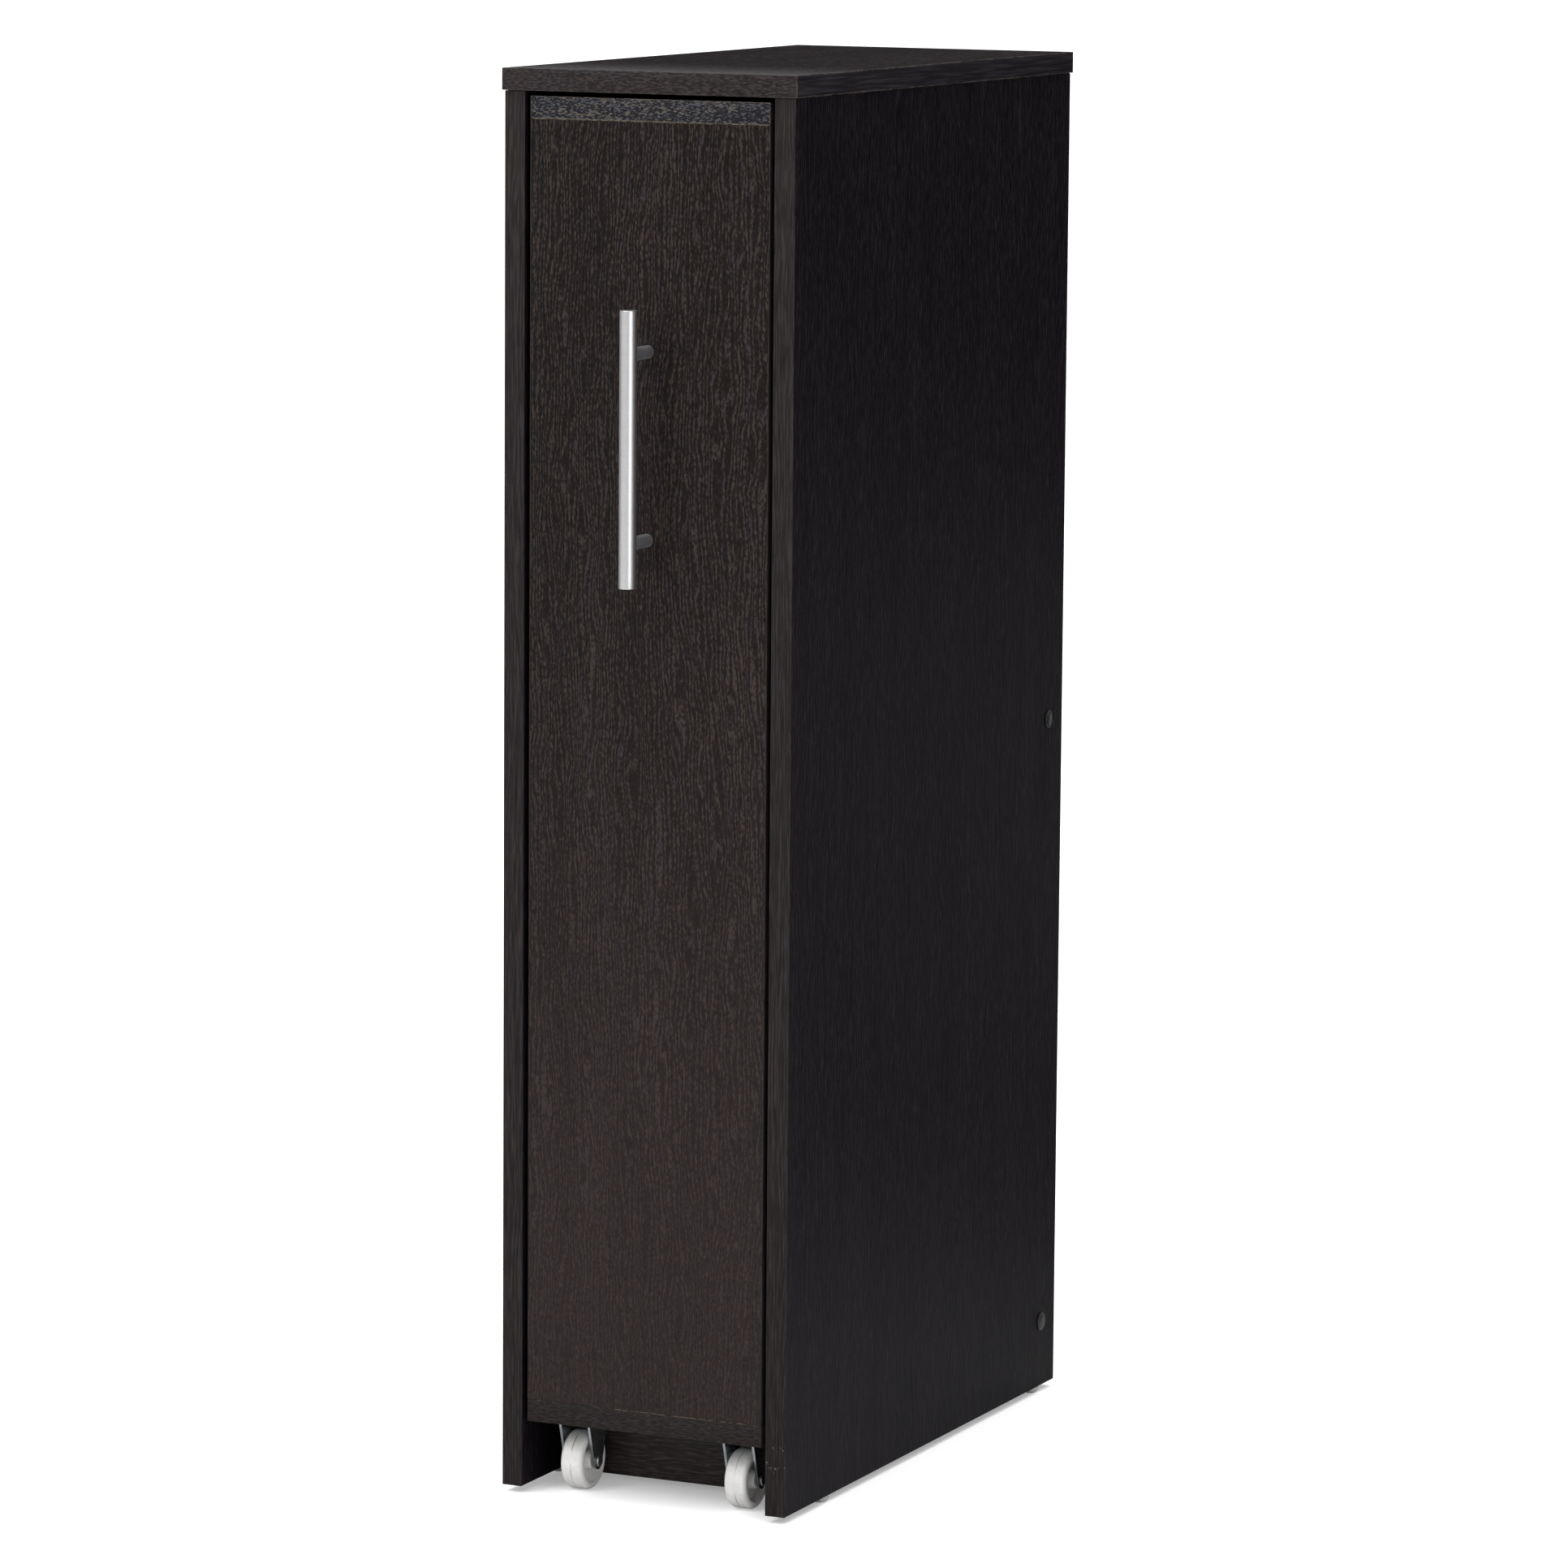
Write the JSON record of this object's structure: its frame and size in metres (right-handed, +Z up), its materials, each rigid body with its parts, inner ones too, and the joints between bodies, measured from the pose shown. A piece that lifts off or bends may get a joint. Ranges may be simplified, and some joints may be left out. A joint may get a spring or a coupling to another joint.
{
  "type": "rolling pantry cart",
  "caption": "Slim dark wood-grain pantry cabinet whose shelf cart rolls out of the shell on small fixed casters, pulled by an upright bar handle.",
  "frame": {"origin": "centre of the bounding box in X and Y, on the floor", "axes": "+X to the right seen from the front, -Y the way the cart rolls out, +Z up"},
  "size_m": [0.2206, 0.5116, 0.989],
  "materials": {
    "wenge": "dark embossed wood-grain laminate, satin",
    "wenge_band": "dark embossed wood-grain laminate with a lighter edge band",
    "hardboard": "plain hardboard",
    "black_plastic": "semi-gloss",
    "clear_nylon": "translucent",
    "white_nylon": "moulded, slightly soiled",
    "satin_aluminium": "satin brushed",
    "post_metal": "dark satin",
    "zinc": "bright zinc plate",
    "steel": "zinc-plated steel"
  },
  "bodies": {
    "shell": {"left_side": "wenge", "right_side": "wenge", "top_board": "wenge_band", "back_panel": "hardboard", "rear_mid_rail": "wenge", "rear_bottom_rail": "wenge", "kick_rail": "wenge", "cover_cap_left_bottom": "black_plastic", "cover_cap_left_mid": "black_plastic", "cover_cap_right_bottom": "black_plastic", "cover_cap_right_mid": "black_plastic", "rail_screw_left_bottom": "steel", "rail_screw_left_mid": "steel", "rail_screw_right_bottom": "steel", "rail_screw_right_mid": "steel", "glide_left_front": "clear_nylon", "glide_left_rear": "clear_nylon", "glide_right_front": "clear_nylon", "glide_right_rear": "clear_nylon", "top_cam_left_front": "steel", "top_cam_left_rear": "steel", "top_cam_right_front": "steel", "top_cam_right_rear": "steel", "kick_cam_left": "steel", "kick_cam_right": "steel"},
    "cart": {"cart_bottom_board": "wenge_band", "cart_top_board": "wenge_band", "cart_front": "wenge", "cart_rear": "wenge", "shelf_lower": "wenge", "shelf_middle": "wenge", "shelf_upper": "wenge", "shelf_pin_lower_left_front": "steel", "shelf_pin_lower_left_rear": "steel", "shelf_pin_lower_right_front": "steel", "shelf_pin_lower_right_rear": "steel", "shelf_pin_upper_left_front": "steel", "shelf_pin_upper_left_rear": "steel", "shelf_pin_upper_right_front": "steel", "shelf_pin_upper_right_rear": "steel", "handle_bar": "satin_aluminium", "handle_post_lower": "post_metal", "handle_post_upper": "post_metal", "handle_screw_lower": "steel", "handle_screw_upper": "steel", "caster_fork_left_front": "zinc", "caster_fork_left_rear": "zinc", "caster_fork_right_front": "zinc", "caster_fork_right_rear": "zinc", "caster_axle_left_front": "steel", "caster_axle_left_rear": "steel", "caster_axle_right_front": "steel", "caster_axle_right_rear": "steel"},
    "wheel_left_front": {"caster_wheel_left_front": "white_nylon"},
    "wheel_left_rear": {"caster_wheel_left_rear": "white_nylon"},
    "wheel_right_front": {"caster_wheel_right_front": "white_nylon"},
    "wheel_right_rear": {"caster_wheel_right_rear": "white_nylon"}
  },
  "joints": [
    {"name": "cart_slide", "type": "slide", "parent": "shell", "child": "cart", "axis": [0, -1, 0], "range_m": [0, 0.304]},
    {"name": "wheel_spin_left_front", "type": "hinge", "parent": "cart", "child": "wheel_left_front", "pos_m": [-0.0631, -0.18495, 0.0205], "axis": [1, 0, 0], "continuous": true},
    {"name": "wheel_spin_left_rear", "type": "hinge", "parent": "cart", "child": "wheel_left_rear", "pos_m": [-0.0631, 0.18245, 0.0205], "axis": [1, 0, 0], "continuous": true},
    {"name": "wheel_spin_right_front", "type": "hinge", "parent": "cart", "child": "wheel_right_front", "pos_m": [0.0631, -0.18495, 0.0205], "axis": [1, 0, 0], "continuous": true},
    {"name": "wheel_spin_right_rear", "type": "hinge", "parent": "cart", "child": "wheel_right_rear", "pos_m": [0.0631, 0.18245, 0.0205], "axis": [1, 0, 0], "continuous": true}
  ],
  "couplings": [
    {"joint": "wheel_spin_left_front", "follows": "cart_slide", "rad_per_m": 48.781},
    {"joint": "wheel_spin_left_rear", "follows": "cart_slide", "rad_per_m": 48.781},
    {"joint": "wheel_spin_right_front", "follows": "cart_slide", "rad_per_m": 48.781},
    {"joint": "wheel_spin_right_rear", "follows": "cart_slide", "rad_per_m": 48.781}
  ]
}
